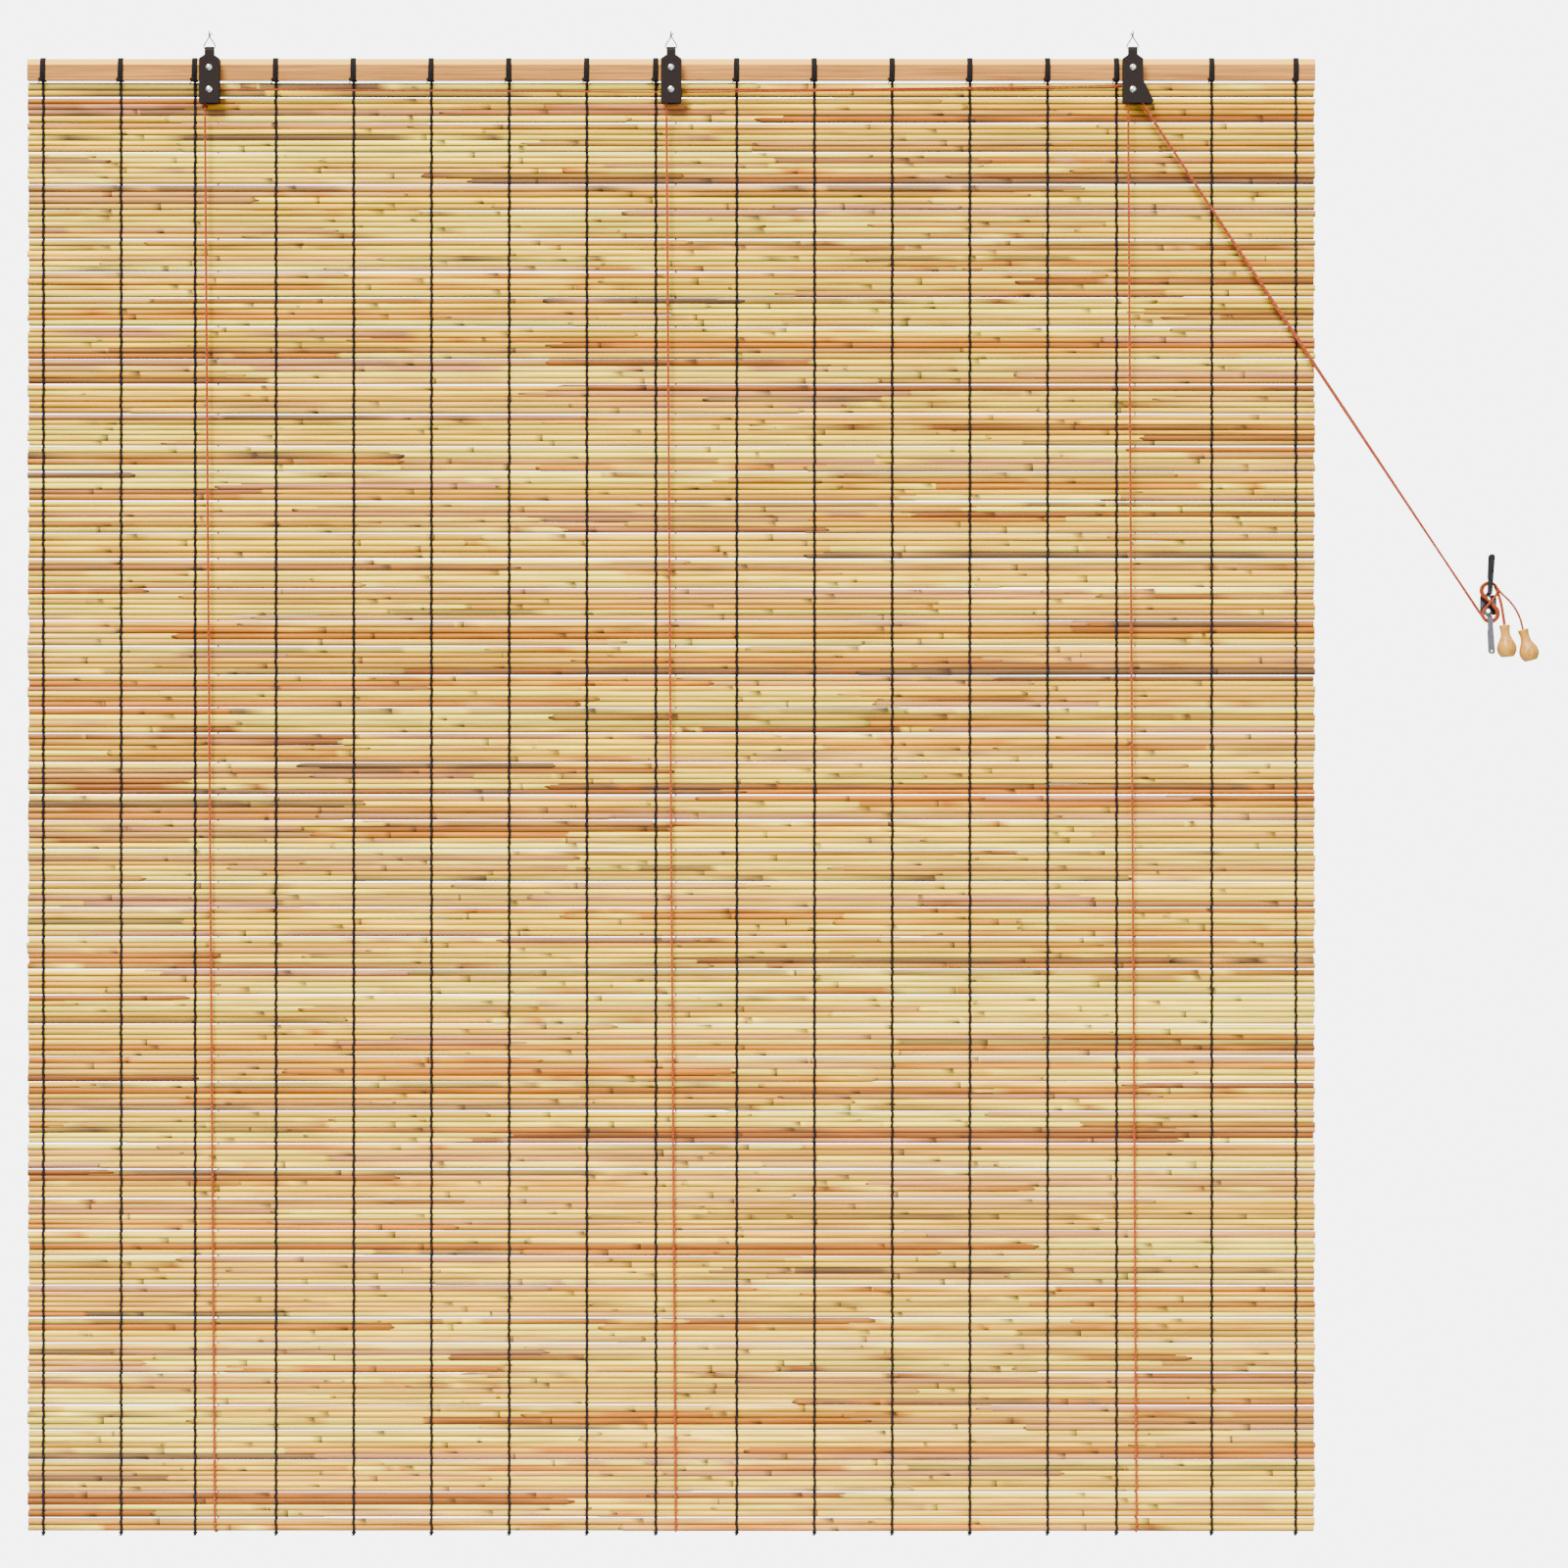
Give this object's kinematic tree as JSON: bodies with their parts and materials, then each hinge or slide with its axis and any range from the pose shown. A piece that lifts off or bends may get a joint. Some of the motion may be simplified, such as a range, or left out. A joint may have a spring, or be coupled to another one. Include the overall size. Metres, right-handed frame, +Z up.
{
  "type": "reed roller blind",
  "caption": "Roll-up reed blind hung from folded sheet-steel pulley brackets, with cord bindings, lift cords led over sheaves to a two-horned wall cleat, and turned wooden pulls.",
  "frame": {"origin": "apex of the middle hanger wire, where the hook bears, in the middle plane between the leaves of the bracket", "axes": "+X to the right as the viewer faces the blind, +Y from the viewer towards the wall, +Z up"},
  "size_m": [1.6431, 0.0282, 1.6343],
  "materials": {
    "rail_wood": "satin",
    "reed": "satin",
    "binding_cord": "matte",
    "lift_cord": "matte",
    "bracket_paint": "satin",
    "zinc_steel": "satin",
    "wire_steel": "satin",
    "sheave_plastic": "matte",
    "cleat_steel": "satin",
    "pull_wood": "satin"
  },
  "bodies": {
    "blind": {"headrail": "rail_wood", "reed_mat": "reed", "binding_01": "binding_cord", "binding_02": "binding_cord", "binding_03": "binding_cord", "binding_04": "binding_cord", "binding_05": "binding_cord", "binding_06": "binding_cord", "binding_07": "binding_cord", "binding_08": "binding_cord", "binding_09": "binding_cord", "binding_10": "binding_cord", "binding_11": "binding_cord", "binding_12": "binding_cord", "binding_13": "binding_cord", "binding_14": "binding_cord", "binding_15": "binding_cord", "binding_16": "binding_cord", "binding_17": "binding_cord", "bracket_left": "bracket_paint", "sheave_rivet_left": "zinc_steel", "bracket_bolt_left": "zinc_steel", "spacer_left": "zinc_steel", "bolt_nut_left": "zinc_steel", "lift_cord_left": "lift_cord", "bracket_middle": "bracket_paint", "sheave_rivet_middle": "zinc_steel", "bracket_bolt_middle": "zinc_steel", "spacer_middle": "zinc_steel", "bolt_nut_middle": "zinc_steel", "lift_cord_middle": "lift_cord", "bracket_right": "bracket_paint", "sheave_rivet_right": "zinc_steel", "bracket_bolt_right": "zinc_steel", "spacer_right": "zinc_steel", "bolt_nut_right": "zinc_steel", "lift_cord_right": "lift_cord", "guide_pin": "bracket_paint", "cleat": "cleat_steel", "cord_winding": "lift_cord", "pull_cord_left": "lift_cord", "pull_cord_middle": "lift_cord", "pull_cord_right": "lift_cord", "tail_cord_pair": "lift_cord", "tail_cord_single": "lift_cord", "pull_left": "pull_wood", "pull_right": "pull_wood"},
    "sheave_left_body": {"sheave_left": "sheave_plastic"},
    "hanger_left_body": {"hanger_wire_left": "wire_steel"},
    "sheave_middle_body": {"sheave_middle": "sheave_plastic"},
    "hanger_middle_body": {"hanger_wire_middle": "wire_steel"},
    "sheave_right_body": {"sheave_right": "sheave_plastic"},
    "hanger_right_body": {"hanger_wire_right": "wire_steel"}
  },
  "joints": [
    {"name": "sheave_left_spin", "type": "hinge", "parent": "blind", "child": "sheave_left_body", "pos_m": [-0.501, 0, -0.05865], "axis": [0, 1, 0], "continuous": true},
    {"name": "hanger_left_swing", "type": "hinge", "parent": "blind", "child": "hanger_left_body", "pos_m": [-0.501, 0, -0.0133], "axis": [1, 0, 0], "range_deg": [-80, 80]},
    {"name": "sheave_middle_spin", "type": "hinge", "parent": "blind", "child": "sheave_middle_body", "pos_m": [0, 0, -0.05865], "axis": [0, 1, 0], "continuous": true},
    {"name": "hanger_middle_swing", "type": "hinge", "parent": "blind", "child": "hanger_middle_body", "pos_m": [0, 0, -0.0133], "axis": [1, 0, 0], "range_deg": [-80, 80]},
    {"name": "sheave_right_spin", "type": "hinge", "parent": "blind", "child": "sheave_right_body", "pos_m": [0.501, 0, -0.05865], "axis": [0, 1, 0], "continuous": true},
    {"name": "hanger_right_swing", "type": "hinge", "parent": "blind", "child": "hanger_right_body", "pos_m": [0.501, 0, -0.0133], "axis": [1, 0, 0], "range_deg": [-80, 80]}
  ]
}
